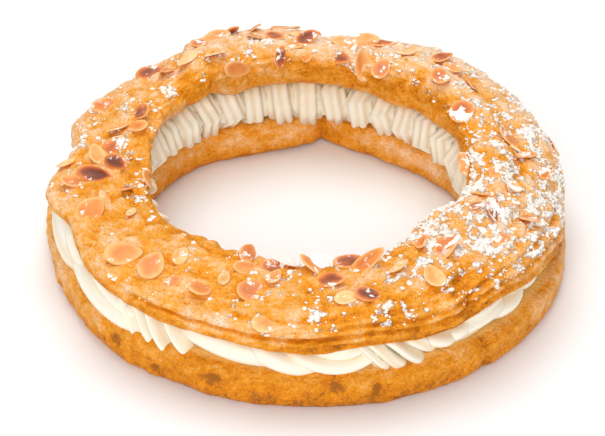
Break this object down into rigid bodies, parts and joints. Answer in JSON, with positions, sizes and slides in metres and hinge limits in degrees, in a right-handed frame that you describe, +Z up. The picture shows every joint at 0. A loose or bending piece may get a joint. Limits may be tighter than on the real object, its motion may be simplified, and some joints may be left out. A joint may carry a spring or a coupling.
{
  "type": "paris brest pastry",
  "caption": "Large ring of choux pastry cut level, with folds of piped cream between the base and the ridged lid.",
  "frame": {"origin": "centre of the ring, on the surface it rests on", "axes": "+Z up through the hole; -Y towards the front; the lid dips onto the base at +X"},
  "size_m": [0.262, 0.2622, 0.068],
  "materials": {
    "base_crust": "baked choux, dry and slightly rough",
    "praline_cream": "smooth whipped cream, softly glossy",
    "lid_crust": "baked choux, browner in the grooves, with flaked almonds and icing sugar"
  },
  "bodies": {
    "root": {"choux_base": "base_crust", "cream": "praline_cream", "choux_lid": "lid_crust"}
  },
  "joints": []
}
